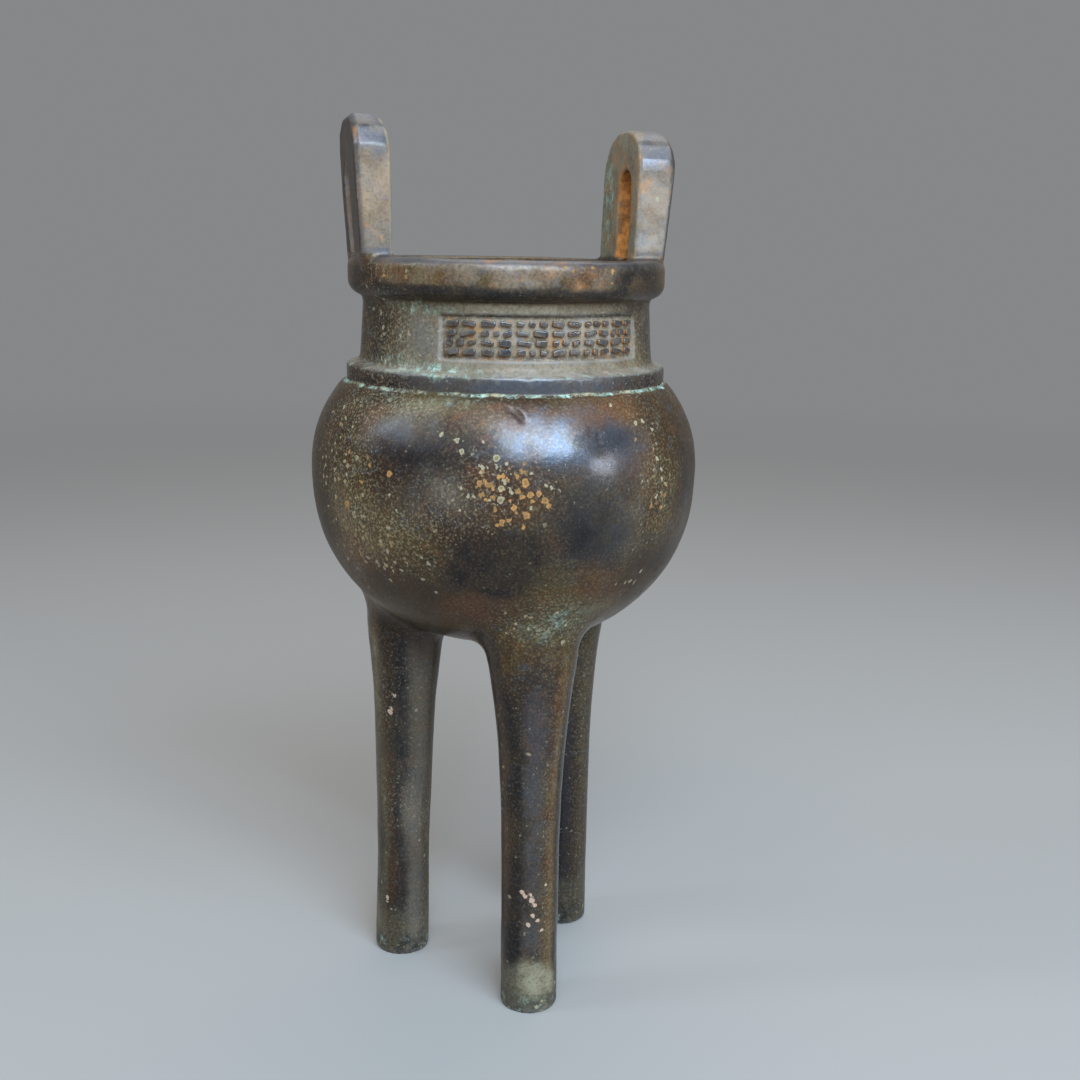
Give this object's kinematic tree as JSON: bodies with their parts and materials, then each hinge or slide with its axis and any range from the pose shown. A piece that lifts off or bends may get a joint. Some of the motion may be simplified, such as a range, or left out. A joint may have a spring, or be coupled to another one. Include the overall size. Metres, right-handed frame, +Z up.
{
  "type": "incense burner",
  "caption": "Round-bellied incense burner of patinated cast copper, with a stepped neck, thick rim, upright slotted handles and tall straight legs",
  "frame": {"origin": "on the ground, at the middle of the box's base, on the axis of the bowl", "axes": "+Z up along the axis of the bowl; the sunk panel on the neck faces -Y, the handles stand at about +X and -X"},
  "size_m": [0.0922, 0.0922, 0.2084],
  "materials": {
    "patinated_copper": "satin"
  },
  "bodies": {
    "root": {"incense_burner": "patinated_copper"}
  },
  "joints": []
}
